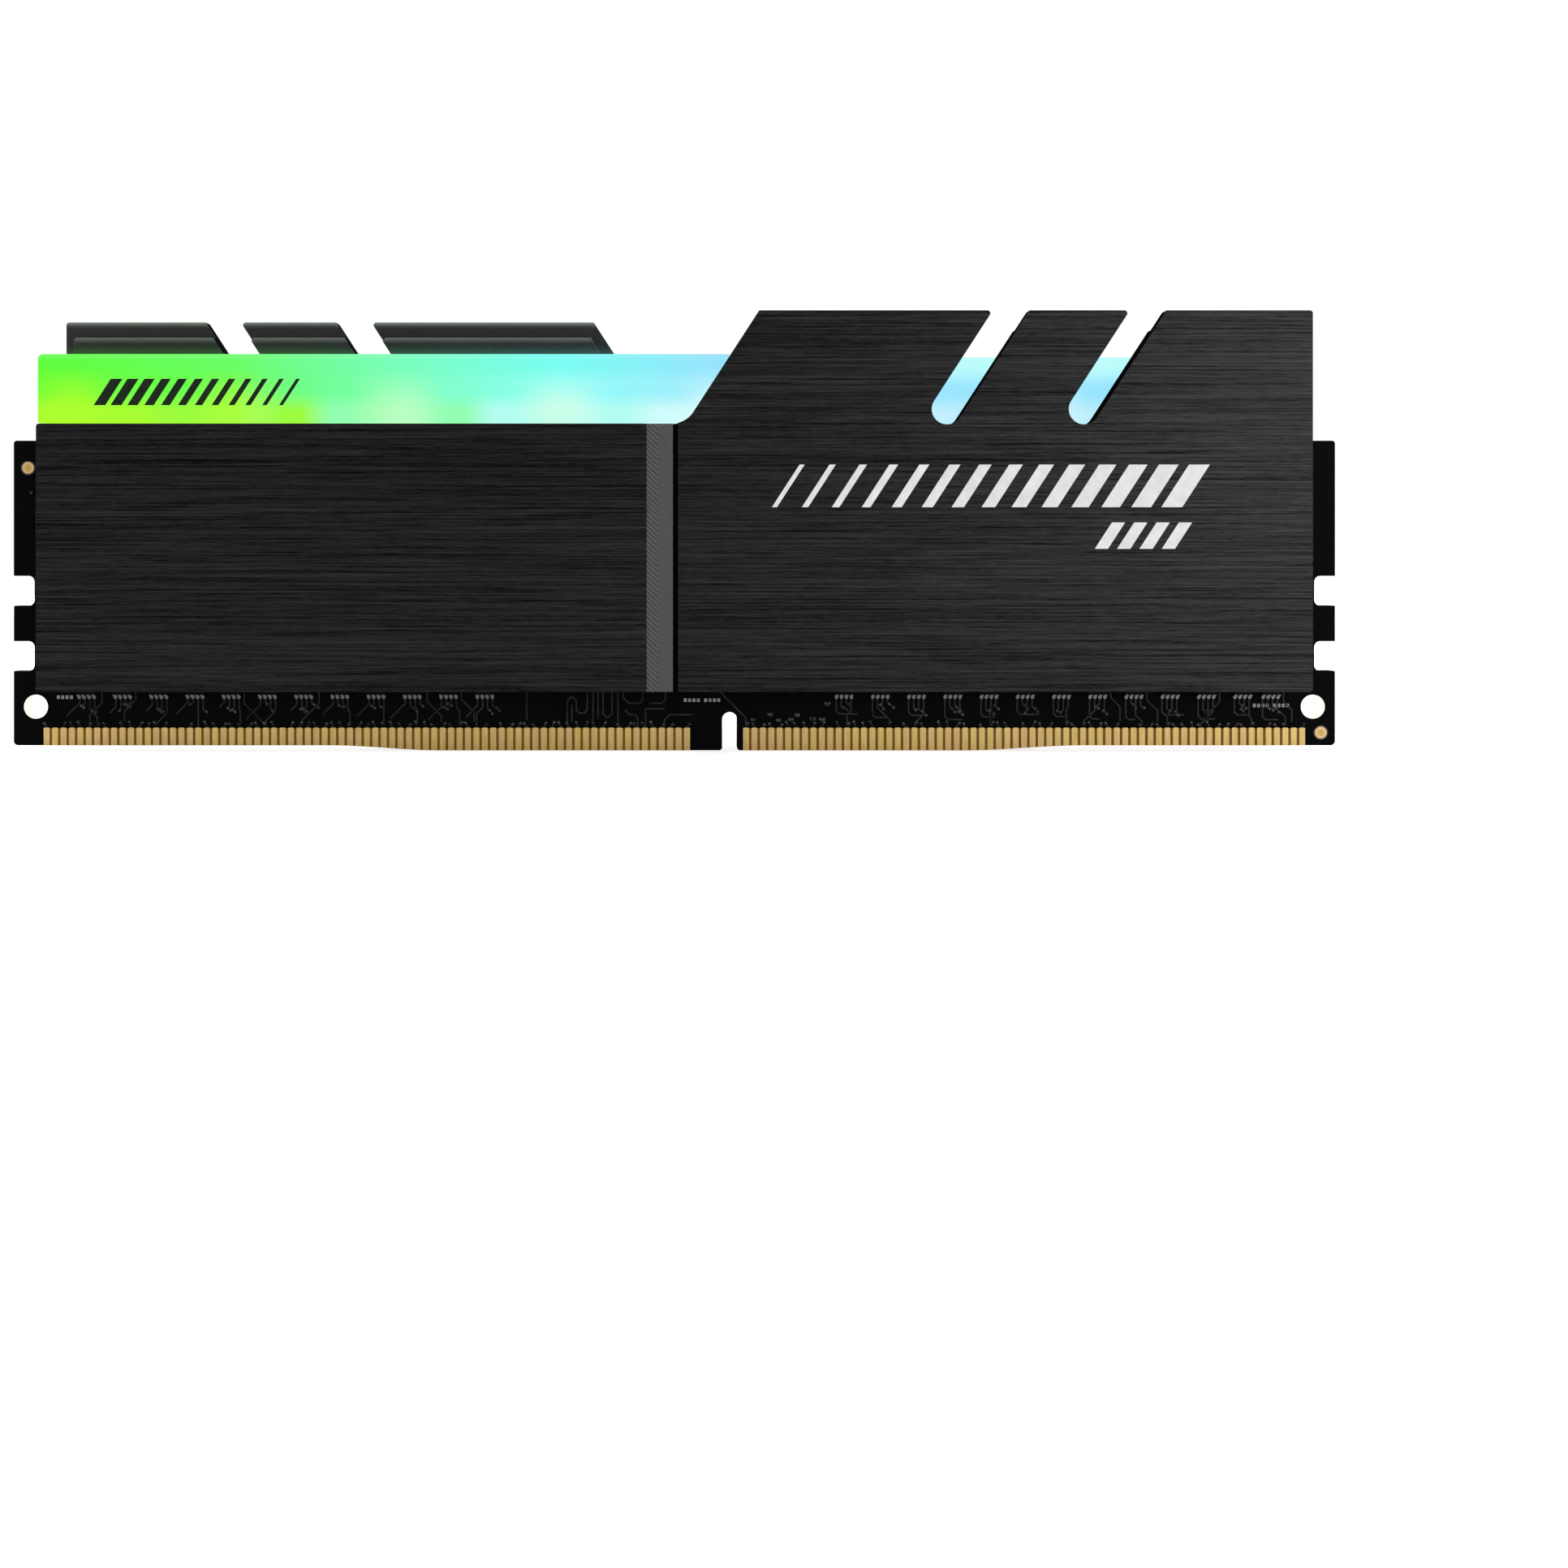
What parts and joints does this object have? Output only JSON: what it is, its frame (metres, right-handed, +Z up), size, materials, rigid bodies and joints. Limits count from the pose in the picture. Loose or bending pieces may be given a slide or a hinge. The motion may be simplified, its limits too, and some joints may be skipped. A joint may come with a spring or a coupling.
{
  "type": "memory module",
  "caption": "Upright desktop memory module: edge-contact circuit board between two finned metal heat spreaders, with a translucent light bar along the top.",
  "frame": {"origin": "middle of the circuit board's lower edge: mid length, mid thickness, at the lowest level of the edge", "axes": "+X along the module to the right as seen from the front, -Y out of the front heat spreader, +Z up out of the socket"},
  "size_m": [0.1334, 0.008, 0.0438],
  "materials": {
    "board": "black solder mask, semi-gloss",
    "gold": "gold plating, smooth",
    "package": "moulded epoxy, matt",
    "ceramic": "glazed ceramic with tinned ends",
    "lamp": "clear encapsulant in a white frame",
    "anodised": "black anodised, brushed along its length",
    "accent": "grey anodised, fine blasted",
    "milky": "milky acrylic, lit from inside",
    "pad": "soft silicone pad"
  },
  "bodies": {
    "root": {"pcb": "board", "contacts_front_left": "gold", "contacts_front_right": "gold", "contacts_rear_left": "gold", "contacts_rear_right": "gold", "fiducial_left": "gold", "fiducial_right": "gold", "dram_chip_1": "package", "dram_chip_2": "package", "dram_chip_3": "package", "dram_chip_4": "package", "dram_chip_5": "package", "dram_chip_6": "package", "dram_chip_7": "package", "dram_chip_8": "package", "spd_eeprom": "package", "rgb_controller": "package", "led_1": "lamp", "led_2": "lamp", "led_3": "lamp", "led_4": "lamp", "led_5": "lamp", "led_6": "lamp", "led_7": "lamp", "led_8": "lamp", "resistor_array_left_01": "ceramic", "resistor_array_left_02": "ceramic", "resistor_array_left_03": "ceramic", "resistor_array_left_04": "ceramic", "resistor_array_left_05": "ceramic", "resistor_array_left_06": "ceramic", "resistor_array_left_07": "ceramic", "resistor_array_left_08": "ceramic", "resistor_array_left_09": "ceramic", "resistor_array_left_10": "ceramic", "resistor_array_left_11": "ceramic", "resistor_array_left_12": "ceramic", "resistor_array_right_01": "ceramic", "resistor_array_right_02": "ceramic", "resistor_array_right_03": "ceramic", "resistor_array_right_04": "ceramic", "resistor_array_right_05": "ceramic", "resistor_array_right_06": "ceramic", "resistor_array_right_07": "ceramic", "resistor_array_right_08": "ceramic", "resistor_array_right_09": "ceramic", "resistor_array_right_10": "ceramic", "resistor_array_right_11": "ceramic", "resistor_array_right_12": "ceramic", "resistor_array_right_13": "ceramic", "front_heat_spreader": "anodised", "rear_heat_spreader": "anodised", "front_accent_strip": "accent", "rear_accent_strip": "accent", "light_diffuser": "milky", "front_thermal_pad": "pad", "rear_thermal_pad": "pad"}
  },
  "joints": []
}
